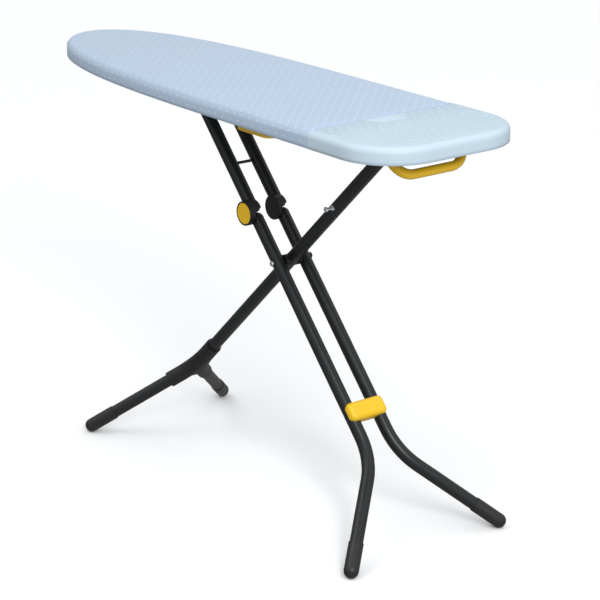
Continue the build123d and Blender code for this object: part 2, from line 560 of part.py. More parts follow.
# ---------------------------------------------------------------- rear (single) leg
def make_rear_leg():
    fork = (fork_corner, 0, 0)
    half = REAR_FOOT_SPREAD / 2
    heading = atan2(half, rear_foot - fork_corner)
    stud_x = -STUD_DISTANCE
    bush_radius = AXLE_RADIUS + SLIDE_FIT + 1.5

    tube_bottom = fork_mouth + FORK_SOCKET_DEPTH
    tube = pin_x(0, 0, -rear_top - TUBE_END_REAR, tube_bottom, TUBE_RADIUS)
    tube = fillet(edges_at(tube, Axis.X, -rear_top - TUBE_END_REAR), 3)
    tube -= pin_x(0, 0, -rear_top - TUBE_END_REAR + TUBE_WALL, tube_bottom, BORE_RADIUS)
    tube -= pin_y(-rear_top, 0, -TUBE_RADIUS, TUBE_RADIUS, bush_radius + FIXED_FIT)
    tube -= pin_y(0, 0, -TUBE_RADIUS, TUBE_RADIUS, BOLT_RADIUS + SLIDE_FIT)
    tube -= pin_y(stud_x, 0, -TUBE_RADIUS, 0, STUD_SHANK_RADIUS + FIXED_FIT)
    place_rear("rear_leg_tube", tube)

    bush_reach = BRACKET_EAR_OFFSET - PART_GAP
    bush = pin_y(-rear_top, 0, -bush_reach, bush_reach, bush_radius)
    for side in (-1, 1):
        y = sorted((side * (TUBE_RADIUS + FIXED_FIT), side * bush_reach))
        bush += pin_y(-rear_top, 0, *y, bush_radius + 3)
    place_rear("rear_axle_bush", bush - pin_y(-rear_top, 0, -bush_reach, bush_reach,
                                              AXLE_RADIUS + SLIDE_FIT))

    collars = []
    for side in (-1, 1):
        y = sorted((0, side * (HALF_SPACING - TUBE_RADIUS - PART_GAP)))
        collar = pin_y(0, 0, *y, COLLAR_RADIUS) - pin_x(0, 0, -30, 30, TUBE_RADIUS + FIXED_FIT)
        collars.append(collar - pin_y(0, 0, *y, BOLT_RADIUS + SLIDE_FIT))
    place_rear("pivot_collars", Compound(collars))

    stud_base = -TUBE_RADIUS
    stud = pin_y(stud_x, 0, stud_base - 1.5, 0, STUD_BASE_RADIUS)
    stud -= pin_x(0, 0, stud_x - 20, stud_x + 20, TUBE_RADIUS + FIXED_FIT)
    stud += pin_y(stud_x, 0, stud_base - STUD_LENGTH, stud_base + 4, STUD_SHANK_RADIUS)
    head = pin_y(stud_x, 0, stud_base - STUD_LENGTH, stud_base - STUD_LENGTH + 4, STUD_HEAD_RADIUS)
    stud += fillet(head.edges().filter_by(GeomType.CIRCLE), 1)
    place_rear("stop_stud", stud)

    moulding = None
    sockets = [pin_x(0, 0, fork_mouth, tube_bottom, TUBE_RADIUS + FIXED_FIT)]
    for side in (-1, 1):
        mouth = (fork_corner + FORK_SLEEVE_REACH * cos(heading),
                 side * FORK_SLEEVE_REACH * sin(heading), 0)
        route = bent_route((fork_mouth, 0, 0), fork, mouth, FORK_BEND_RADIUS)
        branch = pipe(route, SLEEVE_RADIUS, 0)
        moulding = branch if moulding is None else moulding + branch
        socket = Pos(*mouth) * Rot(0, 0, side * degrees(heading)) * (
            Pos(-FORK_SOCKET_DEPTH / 2, 0, 0) * Rot(0, 90, 0)
            * Cylinder(TUBE_RADIUS + FIXED_FIT, FORK_SOCKET_DEPTH))
        sockets.append(socket)
    wide_end = fork_corner + FORK_WEB_LENGTH
    narrow, wide = FORK_WEB_WIDTHS[0] / 2, FORK_WEB_WIDTHS[1] / 2
    plate = make_face(Polyline((fork_corner, -narrow), (fork_corner, narrow), (wide_end, wide),
                               (wide_end, -wide), close=True))
    web = extrude(Pos(0, 0, -FORK_WEB_HEIGHT / 2) * plate, FORK_WEB_HEIGHT, dir=(0, 0, 1))
    arch = Pos(fork_corner + FORK_ARCH_PLACE, 0, 0) * Cylinder(FORK_ARCH_RADIUS, 4 * SLEEVE_RADIUS)
    moulding += web - arch
    for socket in sockets:
        moulding -= socket
    place_rear("leg_fork", moulding)

    for name, side in (("left", -1), ("right", 1)):
        ball = (rear_foot, side * half, 0)
        run = hypot(half, rear_foot - fork_corner)
        tube_start = FORK_SLEEVE_REACH - FORK_SOCKET_DEPTH
        tube_end = run - 6
        middle = (tube_start + tube_end) / 2
        leg = Rot(0, 90, 0) * Cylinder(TUBE_RADIUS, tube_end - tube_start)
        leg -= Rot(0, 90, 0) * Cylinder(BORE_RADIUS, tube_end - tube_start)
        turn = Rot(0, 0, side * degrees(heading))
        place_rear(f"rear_foot_tube_{name}", Pos(*fork) * turn * (Pos(middle, 0, 0) * leg))
        place_rear(f"rear_foot_cap_{name}", foot_cap(ball, side * degrees(heading)))


def place_rear(name, solid):
    keep(name, rear_plane.location * solid)


# ---------------------------------------------------------------- front (double) leg
def place_front(name, solid):
    keep(name, front_plane.location * solid)


def knuckle_reach(side):
    """Drum span along Y: left stands out past its tube, right stops short of the rear leg."""
    if side < 0:
        return -HALF_SPACING - KNUCKLE_OUTER_REACH, -HALF_SPACING + KNUCKLE_INNER_REACH
    return TUBE_RADIUS + PART_GAP + 0.2, HALF_SPACING + KNUCKLE_INNER_REACH


def tube_seat(x, y, growth):
    """The domed upper stretch of a lower tube, grown by a clearance."""
    start = x + LOWER_TUBE_START + TUBE_RADIUS
    radius = TUBE_RADIUS + growth
    return Pos(start, y, 0) * Sphere(radius) + pin_x(y, 0, start, x + 2 * KNUCKLE_RADIUS, radius)


def make_knuckle(name, side):
    """Drum that the upper tube plugs into, with an open seat for the domed lower tube."""
    x = -KNUCKLE_DISTANCE
    y = side * HALF_SPACING
    y0, y1 = knuckle_reach(side)
    drum = pin_y(x, 0, y0, y1, KNUCKLE_RADIUS)
    drum = fillet(drum.edges().filter_by(GeomType.CIRCLE), 1.0)
    drum += pin_x(y, 0, x - KNUCKLE_NECK - SPIGOT_LENGTH, x, BORE_RADIUS - FIXED_FIT)
    drum += pin_x(y, 0, x - KNUCKLE_NECK, x, TUBE_RADIUS)
    seat = tube_seat(x, y, FIXED_FIT)
    start, reach = x + LOWER_TUBE_START + TUBE_RADIUS, TUBE_RADIUS + FIXED_FIT
    seat += block(start, x + 2 * KNUCKLE_RADIUS, y - reach, y + reach, 0, KNUCKLE_RADIUS)
    drum -= seat + pin_z(start, y, 0, KNUCKLE_RADIUS, reach)
    cup = BUTTON_THICKNESS + BUTTON_TRAVEL + 0.5 if side < 0 else BUTTON_THICKNESS
    drum -= pin_y(x, 0, y0, y0 + cup, BUTTON_RADIUS + (PART_GAP if side < 0 else FIXED_FIT))
    if side < 0:
        stem_end = BUTTON_THICKNESS + BUTTON_STEM_LENGTH
        bore_end = y0 + stem_end + BUTTON_TRAVEL + SPRING_ROOM
        drum -= pin_y(x, 0, y0, bore_end, BUTTON_STEM_RADIUS + SLIDE_FIT)
        face = pin_y(x, 0, y0, y0 + BUTTON_THICKNESS, BUTTON_RADIUS)
        face = fillet(edges_at(face, Axis.Y, y0), 0.8)
        button = face + pin_y(x, 0, y0, y0 + stem_end, BUTTON_STEM_RADIUS)
        place_front("knuckle_button", button)
        spring_y = y0 + stem_end + BUTTON_TRAVEL + PART_GAP
        coil = pin_y(x, 0, spring_y, bore_end, BUTTON_STEM_RADIUS - 0.4)
        place_front("knuckle_spring", coil - pin_y(x, 0, spring_y, bore_end,
                                                   BUTTON_STEM_RADIUS - 1.4))
    else:
        cap = pin_y(x, 0, y0, y0 + BUTTON_THICKNESS, BUTTON_RADIUS)
        place_front("knuckle_cap", fillet(edges_at(cap, Axis.Y, y0), 0.8))
    place_front(f"knuckle_{name}", drum)


def make_front_leg():
    half = FRONT_FOOT_SPREAD / 2
    heading = atan2(half - HALF_SPACING, front_foot - front_bend)
    knuckle_x = -KNUCKLE_DISTANCE
    axle_x = -front_top
    for name, side in (("left", -1), ("right", 1)):
        y = side * HALF_SPACING
        run = hypot(half - HALF_SPACING, front_foot - front_bend) - 6
        end = (front_bend + run * cos(heading), y + side * run * sin(heading), 0)
        start = knuckle_x + LOWER_TUBE_START + TUBE_RADIUS
        route = bent_route((start, y, 0), (front_bend, y, 0), end, FRONT_BEND_RADIUS)
        dome = Pos(start, y, 0) * (Sphere(TUBE_RADIUS) - Sphere(BORE_RADIUS))
        dome &= block(knuckle_x, start, y - 2 * TUBE_RADIUS, y + 2 * TUBE_RADIUS,
                      -2 * TUBE_RADIUS, 2 * TUBE_RADIUS)
        lower = pipe(route, TUBE_RADIUS, BORE_RADIUS) + dome
        lower -= pin_y(0, 0, y - 2 * TUBE_RADIUS, y + 2 * TUBE_RADIUS, BOLT_RADIUS + FIXED_FIT)
        place_front(f"lower_tube_{name}", lower.solids().sort_by(SortBy.VOLUME)[-1])

        upper = pin_x(y, 0, axle_x - TUBE_END_FRONT, knuckle_x - KNUCKLE_NECK, TUBE_RADIUS)
        upper = fillet(edges_at(upper, Axis.X, axle_x - TUBE_END_FRONT), 3)
        upper -= pin_x(y, 0, axle_x - TUBE_END_FRONT + TUBE_WALL, knuckle_x - KNUCKLE_NECK,
                       BORE_RADIUS)
        upper -= pin_y(axle_x, 0, y - 20, y + 20, AXLE_RADIUS + FIXED_FIT)
        inner = sorted((0, side * HALF_SPACING))
        upper -= pin_y(-SPREADER_DISTANCE, 0, *inner, SPREADER_RADIUS + FIXED_FIT)
        place_front(f"upper_tube_{name}", upper)
        make_knuckle(name, side)
        place_front(f"front_foot_cap_{name}",
                    foot_cap((front_foot, side * half, 0), side * degrees(heading)))

    rod = HALF_SPACING - 8
    place_front("spreader_rod", pin_y(-SPREADER_DISTANCE, 0, -rod, rod, SPREADER_RADIUS))

    roller_in = RAIL_OFFSET + RAIL_THICKNESS + 2
    axle_end = roller_in + ROLLER_WIDTH + 4
    place_front("top_axle", pin_y(axle_x, 0, -axle_end, axle_end, AXLE_RADIUS))
    rollers, caps = [], []
    for side in (-1, 1):
        y = sorted((side * roller_in, side * (roller_in + ROLLER_WIDTH)))
        roller = fillet(pin_y(axle_x, 0, *y, ROLLER_RADIUS).edges().filter_by(GeomType.CIRCLE), 1)
        rollers.append(roller - pin_y(axle_x, 0, *y, AXLE_RADIUS + FIXED_FIT))
        y = sorted((side * (roller_in + ROLLER_WIDTH), side * axle_end))
        caps.append(pin_y(axle_x, 0, *y, AXLE_RADIUS + 2)
                    - pin_y(axle_x, 0, *y, AXLE_RADIUS + FIXED_FIT))
    place_front("axle_rollers", Compound(rollers))
    place_front("axle_caps", Compound(caps))

    outer = HALF_SPACING + TUBE_RADIUS
    washers = []
    for side in (-1, 1):
        y = sorted((side * (outer - 5), side * (outer + 1)))
        washer = pin_y(0, 0, *y, BOLT_HEAD_RADIUS + 1)
        washer -= pin_x(side * HALF_SPACING, 0, -20, 20, TUBE_RADIUS + FIXED_FIT)
        washers.append(washer - pin_y(0, 0, *y, BOLT_RADIUS + FIXED_FIT))
    place_front("pivot_washers", Compound(washers))
    seat = outer + 1
    bolt = pin_y(0, 0, -seat, seat + NUT_THICKNESS, BOLT_RADIUS)
    head = pin_y(0, 0, -seat - 3.5, -seat, BOLT_HEAD_RADIUS)
    place_front("pivot_bolt", bolt + fillet(edges_at(head, Axis.Y, -seat - 3.5), 1.5))
    nut = Plane(origin=(0, seat, 0), x_dir=(1, 0, 0), z_dir=(0, 1, 0)) * RegularPolygon(6.5, 6)
    place_front("pivot_nut", extrude(nut, NUT_THICKNESS)
                - pin_y(0, 0, seat, seat + NUT_THICKNESS, BOLT_RADIUS + FIXED_FIT))
    make_clip()


def make_clip():
    """Pillow-shaped clip seated on the front of both tubes, with a hollow lug between them."""
    x0, x1 = clip_middle - CLIP_LENGTH / 2, clip_middle + CLIP_LENGTH / 2
    outer = HALF_SPACING + TUBE_RADIUS - CLIP_END_INSET
    face = TUBE_RADIUS + CLIP_THICKNESS
    clip = block(x0, x1, -outer, outer, -CLIP_SKIRT, face)
    clip = fillet(clip.edges().filter_by(Axis.Z), CLIP_ROUNDING)
    clip = fillet(edges_at(clip, Axis.Z, face), CLIP_ROUNDING - 0.5)
    for side in (-1, 1):
        y = side * HALF_SPACING
        clip -= pin_x(y, 0, x0, x1, TUBE_RADIUS + FIXED_FIT)
        clip -= block(x0, x1, y - TUBE_RADIUS, y + TUBE_RADIUS, -CLIP_SKIRT - 1, 0)
    inner = HALF_SPACING - TUBE_RADIUS - CLIP_SKIRT
    clip -= block(x0 + CLIP_SKIRT, x1 - CLIP_SKIRT, -inner, inner, -CLIP_SKIRT - 1, TUBE_RADIUS)
    place_front("leg_clip", clip)


# ---------------------------------------------------------------- build and write
make_top()
make_frame()
make_rails()
make_rear_bracket()
make_handle()
make_screws()
make_release()
make_rear_leg()
make_front_leg()

os.makedirs("parts", exist_ok=True)
for node_name, node in nodes.items():
    node.label = node_name
    export_step(node, os.path.join("parts", node_name + ".step"))

fold = 90 - REAR_LEAN - folded_rear
swing = 90 - FRONT_LEAN - folded_front
print(len(nodes), "nodes")
print(f"rear axle x {rear_axle_x:.3f}  front axle x {front_axle_x:.3f} to {folded_axle_x:.3f}")
print(f"leg fold {fold:.3f} degrees, leg cross ratio {-(fold + swing) / fold:.5f}")
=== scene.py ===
"""Folding ironing board with a dotted fabric cover and a silicone iron rest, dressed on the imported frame."""
import json
from math import acos, cos, pi, radians, sin

import bmesh
import bpy
from mathutils import Matrix, Vector


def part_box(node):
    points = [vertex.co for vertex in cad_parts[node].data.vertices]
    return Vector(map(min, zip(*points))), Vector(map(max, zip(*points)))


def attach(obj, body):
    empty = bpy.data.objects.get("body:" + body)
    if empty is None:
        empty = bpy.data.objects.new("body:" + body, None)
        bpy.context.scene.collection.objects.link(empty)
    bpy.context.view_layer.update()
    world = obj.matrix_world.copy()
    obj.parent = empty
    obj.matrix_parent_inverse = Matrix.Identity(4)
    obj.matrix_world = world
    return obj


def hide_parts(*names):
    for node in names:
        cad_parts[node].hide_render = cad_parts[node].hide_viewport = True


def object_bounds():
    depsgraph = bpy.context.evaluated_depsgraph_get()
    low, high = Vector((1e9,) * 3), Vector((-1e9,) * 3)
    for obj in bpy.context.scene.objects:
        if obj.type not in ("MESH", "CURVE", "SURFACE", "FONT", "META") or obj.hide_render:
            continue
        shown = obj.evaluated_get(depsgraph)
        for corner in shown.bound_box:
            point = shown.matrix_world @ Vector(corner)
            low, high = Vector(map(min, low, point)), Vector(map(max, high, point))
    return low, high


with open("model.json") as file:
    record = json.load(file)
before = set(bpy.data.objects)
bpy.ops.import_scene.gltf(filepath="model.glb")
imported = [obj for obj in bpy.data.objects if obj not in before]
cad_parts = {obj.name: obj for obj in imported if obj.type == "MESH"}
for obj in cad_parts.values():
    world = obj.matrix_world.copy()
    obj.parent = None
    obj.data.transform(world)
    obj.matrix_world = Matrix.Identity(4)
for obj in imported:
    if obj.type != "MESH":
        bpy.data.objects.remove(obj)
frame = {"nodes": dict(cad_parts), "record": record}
cad_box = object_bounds()
nodes = frame["nodes"]

MM = 0.001
SKY_HORIZON = 0.42
SKY_RISE = 0.70
SKY_TILT = 0.22

# ---------------------------------------------------------------- places taken from the frame
FABRIC_LOW, FABRIC_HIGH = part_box("fabric_cover")
REST_LOW, REST_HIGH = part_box("iron_rest")
X_NOSE = FABRIC_LOW.x
X_SEAM = REST_LOW.x
X_END = REST_HIGH.x
RELIEF = 0.8 * MM
REST_TOP = REST_HIGH.z - RELIEF
TAB_HALF_LENGTH = 50 * MM
TAB_DEPTH = 30 * MM
TAB_TAPER = 24 * MM
MARK_COLUMN_PITCH = 18.66 * MM
MARK_ROW_PITCH = 21.3 * MM
MARK_LENGTH = 6.5 * MM
MARK_HALF_WIDTH = 4.6 * MM
MARK_STROKE = 2.6 * MM
MARK_MARGIN = 21 * MM
FABRIC_TOP = FABRIC_HIGH.z
EDGE_BOTTOM = REST_LOW.z
HALF_BOARD = (REST_HIGH.y - REST_LOW.y) / 2
FABRIC_STEP = HALF_BOARD - FABRIC_HIGH.y
EDGE_RADIUS = 12.3 * MM
CORNER_RADIUS = 109.4 * MM
NOSE_LENGTH = 885.4 * MM
NOSE_LONG_POWER = 3.8
NOSE_WIDE_POWER = 2.11
X_SHOULDER = X_NOSE - FABRIC_STEP + NOSE_LENGTH
HEM_TUCK = ((1.2 * MM, -0.5 * MM, 0.0), (2.5 * MM, -0.1 * MM, 0.0), (9 * MM, 0.3 * MM, 0.35 * MM),
            (7 * MM, 0.0, 0.5 * MM))
SKIRT_TUCK = ((0.8 * MM, -0.35 * MM, 0.0), (1.6 * MM, 0.0, 0.0), (6 * MM, 0.0, 0.0))
SEAM_ROUNDING = ((-0.8 * MM, 0.0, 0.25 * MM), (-0.4 * MM, 0.0, 0.6 * MM), (-0.1 * MM, 0.0, 1.0 * MM))
DOT_CELL = 23.2 * MM
DOT_RADIUS = 1.15 * MM


# ---------------------------------------------------------------- node tree helpers
def tree_node(tree, kind, **settings):
    """A shader node with some of its settings and sockets filled in."""
    made = tree.nodes.new(kind)
    for name, value in settings.items():
        if hasattr(made, name):
            setattr(made, name, value)
        else:
            made.inputs[name.replace("_", " ")].default_value = value
    return made


def math_node(tree, operation, first, second=None, third=None):
    """A Math node whose inputs are sockets or numbers; gives its output."""
    made = tree.nodes.new("ShaderNodeMath")
    made.operation = operation
    for slot_number, value in enumerate((first, second, third)):
        if value is None:
            continue
        if isinstance(value, bpy.types.NodeSocket):
            tree.links.new(value, made.inputs[slot_number])
        else:
            made.inputs[slot_number].default_value = value
    return made.outputs[0]


def new_group(name, inputs, outputs):
    """An effect group with named inputs (name, kind, default) and outputs (name, kind)."""
    group = bpy.data.node_groups.new(name, "ShaderNodeTree")
    for label, kind, default in inputs:
        made = group.interface.new_socket(label, in_out="INPUT", socket_type="NodeSocket" + kind)
        if default is not None:
            made.default_value = default
    for label, kind in outputs:
        group.interface.new_socket(label, in_out="OUTPUT", socket_type="NodeSocket" + kind)
    return group, group.nodes.new("NodeGroupInput"), group.nodes.new("NodeGroupOutput")


def fade(tree, value, low, high, out_low=0.0, out_high=1.0):
    """A smooth ramp of value between low and high."""
    ramp = tree.nodes.new("ShaderNodeMapRange")
    ramp.interpolation_type = "SMOOTHSTEP"
    for label, number in (("From Min", low), ("From Max", high), ("To Min", out_low), ("To Max", out_high)):
        ramp.inputs[label].default_value = number
    tree.links.new(value, ramp.inputs["Value"])
    return ramp.outputs["Result"]


def blend_colour(tree, factor, first, second, kind="MIX"):
    """A colour mix; factor and the colours are sockets or values."""
    mix = tree.nodes.new("ShaderNodeMix")
    mix.data_type = "RGBA"
    mix.blend_type = kind
    for label, value in ((0, factor), (6, first), (7, second)):
        if isinstance(value, bpy.types.NodeSocket):
            tree.links.new(value, mix.inputs[label])
        else:
            mix.inputs[label].default_value = value
    return mix.outputs[2]


# ---------------------------------------------------------------- effect groups
def make_mottle_group():
    """Soft tone and roughness variation: broad drift and fine speckle."""
    group, given, out = new_group(
        "surface_mottle",
        [("Vector", "Vector", None), ("Colour", "Color", (0.5, 0.5, 0.5, 1)), ("Tone Spread", "Float", 0.06),
         ("Roughness", "Float", 0.5), ("Roughness Spread", "Float", 0.08), ("Speckle Scale", "Float", 900.0)],
        [("Colour", "Color"), ("Roughness", "Float"), ("Height", "Float")])
    link = group.links.new
    broad = tree_node(group, "ShaderNodeTexNoise", Scale=14.0, Detail=3.0, Roughness=0.5)
    fine = tree_node(group, "ShaderNodeTexNoise", Detail=2.0, Roughness=0.6)
    link(given.outputs["Vector"], broad.inputs["Vector"])
    link(given.outputs["Vector"], fine.inputs["Vector"])
    link(given.outputs["Speckle Scale"], fine.inputs["Scale"])
    both = math_node(group, "MULTIPLY_ADD", fine.outputs["Fac"], 0.45, broad.outputs["Fac"])
    centred = math_node(group, "SUBTRACT", both, 0.725)
    gain = math_node(group, "MULTIPLY_ADD", centred, given.outputs["Tone Spread"], 1.0)
    scaled = tree_node(group, "ShaderNodeVectorMath", operation="SCALE")
    link(given.outputs["Colour"], scaled.inputs[0])
    link(gain, scaled.inputs["Scale"])
    link(scaled.outputs[0], out.inputs["Colour"])
    rough = math_node(group, "MULTIPLY_ADD", centred, given.outputs["Roughness Spread"], given.outputs["Roughness"])
    link(rough, out.inputs["Roughness"])
    link(fine.outputs["Fac"], out.inputs["Height"])
    return group


def make_wear_group():
    """Edges a little lighter and rougher, found where a rounded normal leaves the true one."""
    group, given, out = new_group(
        "edge_wear",
        [("Colour", "Color", (0.5, 0.5, 0.5, 1)), ("Worn Colour", "Color", (0.6, 0.6, 0.6, 1)),
         ("Roughness", "Float", 0.5), ("Amount", "Float", 0.4)],
        [("Colour", "Color"), ("Roughness", "Float")])
    link = group.links.new
    geometry = group.nodes.new("ShaderNodeNewGeometry")
    rounded = group.nodes.new("ShaderNodeBevel")
    rounded.samples = 4
    rounded.inputs["Radius"].default_value = 0.9 * MM
    turn = tree_node(group, "ShaderNodeVectorMath", operation="DOT_PRODUCT")
    link(rounded.outputs["Normal"], turn.inputs[0])
    link(geometry.outputs["Normal"], turn.inputs[1])
    edge = fade(group, turn.outputs["Value"], 0.80, 0.98, 1.0, 0.0)
    mask = math_node(group, "MULTIPLY", edge, given.outputs["Amount"])
    link(blend_colour(group, mask, given.outputs["Colour"], given.outputs["Worn Colour"]), out.inputs["Colour"])
    link(math_node(group, "MULTIPLY_ADD", mask, 0.15, given.outputs["Roughness"]), out.inputs["Roughness"])
    return group


def make_twill_group():
    """Fine diagonal twill: two crossing thread waves along the cloth's own coordinates."""
    group, given, out = new_group(
        "twill_weave",
        [("Vector", "Vector", None), ("Thread Pitch", "Float", 1.1 * MM)],
        [("Height", "Float"), ("Shade", "Float")])
    link = group.links.new
    split = group.nodes.new("ShaderNodeSeparateXYZ")
    link(given.outputs["Vector"], split.inputs[0])
    turn = math_node(group, "DIVIDE", 2 * pi, given.outputs["Thread Pitch"])
    across = math_node(group, "MULTIPLY", split.outputs["X"], turn)
    along = math_node(group, "MULTIPLY", split.outputs["Y"], turn)
    rib = math_node(group, "SINE", math_node(group, "ADD", across, along))
    thread = math_node(group, "SINE", math_node(group, "MULTIPLY", across, 2.0))
    weft = math_node(group, "SINE", math_node(group, "MULTIPLY", along, 2.0))
    fine = math_node(group, "MULTIPLY", thread, weft)
    height = math_node(group, "MULTIPLY_ADD", fine, 0.35, rib)
    link(math_node(group, "MULTIPLY_ADD", height, 0.37, 0.5), out.inputs["Height"])
    link(math_node(group, "MULTIPLY_ADD", rib, 0.5, 0.5), out.inputs["Shade"])
    return group


def make_dot_group():
    """Woven white dots on a centred square lattice."""
    group, given, out = new_group(
        "woven_dots",
        [("Vector", "Vector", None), ("Cell", "Float", DOT_CELL), ("Radius", "Float", DOT_RADIUS)],
        [("Mask", "Float")])
    link = group.links.new
    split = group.nodes.new("ShaderNodeSeparateXYZ")
    link(given.outputs["Vector"], split.inputs[0])
    masks = []
    for shift in (0.0, 0.5):
        squares = []
        for axis in ("X", "Y"):
            place = math_node(group, "ADD", math_node(group, "DIVIDE", split.outputs[axis], given.outputs["Cell"]), shift)
            near = math_node(group, "SUBTRACT", place, math_node(group, "ROUND", place))
            side = math_node(group, "MULTIPLY", near, given.outputs["Cell"])
            squares.append(math_node(group, "MULTIPLY", side, side))
        reach = math_node(group, "SQRT", math_node(group, "ADD", *squares))
        masks.append(math_node(group, "DIVIDE", reach, given.outputs["Radius"]))
    nearest = math_node(group, "MINIMUM", *masks)
    link(fade(group, nearest, 0.75, 1.2, 1.0, 0.0), out.inputs["Mask"])
    return group


MOTTLE = make_mottle_group()
WEAR = make_wear_group()
TWILL = make_twill_group()
DOTS = make_dot_group()


def use_group(tree, group, **values):
    """Places a group node; values are numbers, colours or sockets keyed by input name."""
    made = tree.nodes.new("ShaderNodeGroup")
    made.node_tree = group
    for name, value in values.items():
        target = made.inputs[name.replace("_", " ")]
        if isinstance(value, bpy.types.NodeSocket):
            tree.links.new(value, target)
        else:
            target.default_value = value
    return made


# ---------------------------------------------------------------- materials
def hex_colour(code):
    """A linear colour from a six-digit screen colour."""
    channels = [int(code[i:i + 2], 16) / 255 for i in (0, 2, 4)]
    return tuple(((c + 0.055) / 1.055) ** 2.4 if c > 0.04 else c / 12.92 for c in channels) + (1.0,)


def start_material(name):
    """An empty node material with its output, shader and object coordinates."""
    material = bpy.data.materials.new(name)
    material.use_nodes = True
    tree = material.node_tree
    shader = tree.nodes["Principled BSDF"]
    coordinates = tree.nodes.new("ShaderNodeTexCoord")
    return material, tree, shader, coordinates


def hard_material(name, colour, worn, roughness, spread=0.06, speckle=900.0, bump=0.12, metal=0.0, wear=0.35,
                  depth=0.05 * MM, specular=0.5):
    """Moulded plastic, rubber, paint or metal: mottled colour, worn edges and a fine surface grain."""
    material, tree, shader, coordinates = start_material(name)
    mottle = use_group(tree, MOTTLE, Vector=coordinates.outputs["Object"], Colour=colour, Tone_Spread=2 * spread,
                       Roughness=roughness, Roughness_Spread=0.25, Speckle_Scale=speckle)
    worn_look = use_group(tree, WEAR, Colour=mottle.outputs["Colour"], Worn_Colour=worn,
                          Roughness=mottle.outputs["Roughness"], Amount=wear)
    tree.links.new(worn_look.outputs["Colour"], shader.inputs["Base Color"])
    tree.links.new(worn_look.outputs["Roughness"], shader.inputs["Roughness"])
    grain = tree.nodes.new("ShaderNodeBump")
    grain.inputs["Strength"].default_value = bump
    grain.inputs["Distance"].default_value = depth
    tree.links.new(mottle.outputs["Height"], grain.inputs["Height"])
    tree.links.new(grain.outputs["Normal"], shader.inputs["Normal"])
    shader.inputs["Metallic"].default_value = metal
    shader.inputs["Specular IOR Level"].default_value = specular
    return material


def cover_material():
    """Blue-grey twill with woven white dots, soft sheen and a faint heather."""
    material, tree, shader, coordinates = start_material("dotted_twill")
    cloth = tree.nodes.new("ShaderNodeUVMap")
    cloth.uv_map = "cloth"
    metres = tree.nodes.new("ShaderNodeVectorMath")
    metres.operation = "SUBTRACT"
    metres.inputs[1].default_value = (0.2237, -0.0645, 0.0)
    tree.links.new(cloth.outputs["UV"], metres.inputs[0])
    place = metres.outputs[0]
    weave = use_group(tree, TWILL, Vector=place)
    dots = use_group(tree, DOTS, Vector=place)
    mottle = use_group(tree, MOTTLE, Vector=coordinates.outputs["Object"], Colour=hex_colour("a2b6cc"),
                       Tone_Spread=0.10, Roughness=0.86, Roughness_Spread=0.1, Speckle_Scale=1600.0)
    shaded = blend_colour(tree, math_node(tree, "MULTIPLY", weave.outputs["Shade"], 0.55),
                          mottle.outputs["Colour"], hex_colour("b3c6da"))
    colour = blend_colour(tree, dots.outputs["Mask"], shaded, hex_colour("eef4f8"))
    tree.links.new(colour, shader.inputs["Base Color"])
    tree.links.new(mottle.outputs["Roughness"], shader.inputs["Roughness"])
    height = math_node(tree, "MULTIPLY_ADD", dots.outputs["Mask"], 0.6, weave.outputs["Height"])
    bump = tree.nodes.new("ShaderNodeBump")
    bump.inputs["Strength"].default_value = 0.35
    bump.inputs["Distance"].default_value = 0.12 * MM
    tree.links.new(height, bump.inputs["Height"])
    tree.links.new(bump.outputs["Normal"], shader.inputs["Normal"])
    shader.inputs["Sheen Weight"].default_value = 0.25
    shader.inputs["Sheen Roughness"].default_value = 0.5
    shader.inputs["Specular IOR Level"].default_value = 0.25
    return material


BLACK_PAINT = hard_material("black_powder_coat", hex_colour("15181a"), hex_colour("303335"), 0.34, speckle=2200.0,
                            bump=0.2, wear=0.3, specular=0.4)
BLACK_PLASTIC = hard_material("black_moulding", hex_colour("17181a"), hex_colour("303133"), 0.42, speckle=2600.0,
                              specular=0.35)
BLACK_RUBBER = hard_material("black_rubber", hex_colour("18191a"), hex_colour("303132"), 0.40, speckle=1500.0,
                             bump=0.25, specular=0.45)
YELLOW = hard_material("yellow_moulding", hex_colour("f0c11a"), hex_colour("f6d45a"), 0.36, spread=0.04,
                       speckle=2400.0, wear=0.2)
SILICONE = hard_material("aqua_silicone", hex_colour("b9ccd8"), hex_colour("c9dae3"), 0.5, spread=0.03,
                         speckle=1800.0, bump=0.15, wear=0.25, specular=0.35)
GREY_PAINT = hard_material("grey_powder_coat", hex_colour("9a9ea1"), hex_colour("b4b7b9"), 0.48, speckle=2000.0,
                           bump=0.25)
GREY_PLASTIC = hard_material("grey_moulding", hex_colour("74787b"), hex_colour("8d9093"), 0.55)
FOAM = hard_material("pad_foam", hex_colour("d9d7cf"), hex_colour("e6e4dd"), 0.9, speckle=700.0, bump=0.6,
                     depth=0.4 * MM)
ZINC = hard_material("zinc_plate", hex_colour("a9acad"), hex_colour("cfd2d3"), 0.34, metal=1.0, speckle=1200.0)
CHROME = hard_material("polished_chrome", hex_colour("e3e6e8"), hex_colour("f4f5f6"), 0.1, spread=0.02,
                       metal=1.0, speckle=600.0, bump=0.03)
FABRIC = cover_material()

FINISHES = {
    "cover_fabric": FABRIC, "pad_foam": FOAM, "silicone": SILICONE, "grey_plastic": GREY_PLASTIC,
    "sheet_steel": GREY_PAINT, "zinc_steel": ZINC, "yellow_plastic": YELLOW, "black_plastic": BLACK_PLASTIC,
    "black_paint": BLACK_PAINT, "black_rubber": BLACK_RUBBER, "chrome": CHROME,
}


def dress_cad_nodes():
    """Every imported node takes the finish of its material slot."""
    for entry in frame["record"]["subparts"]:
        mesh = nodes[entry["node"]].data
        mesh.materials.clear()
        mesh.materials.append(FINISHES[entry["material_slot"]])


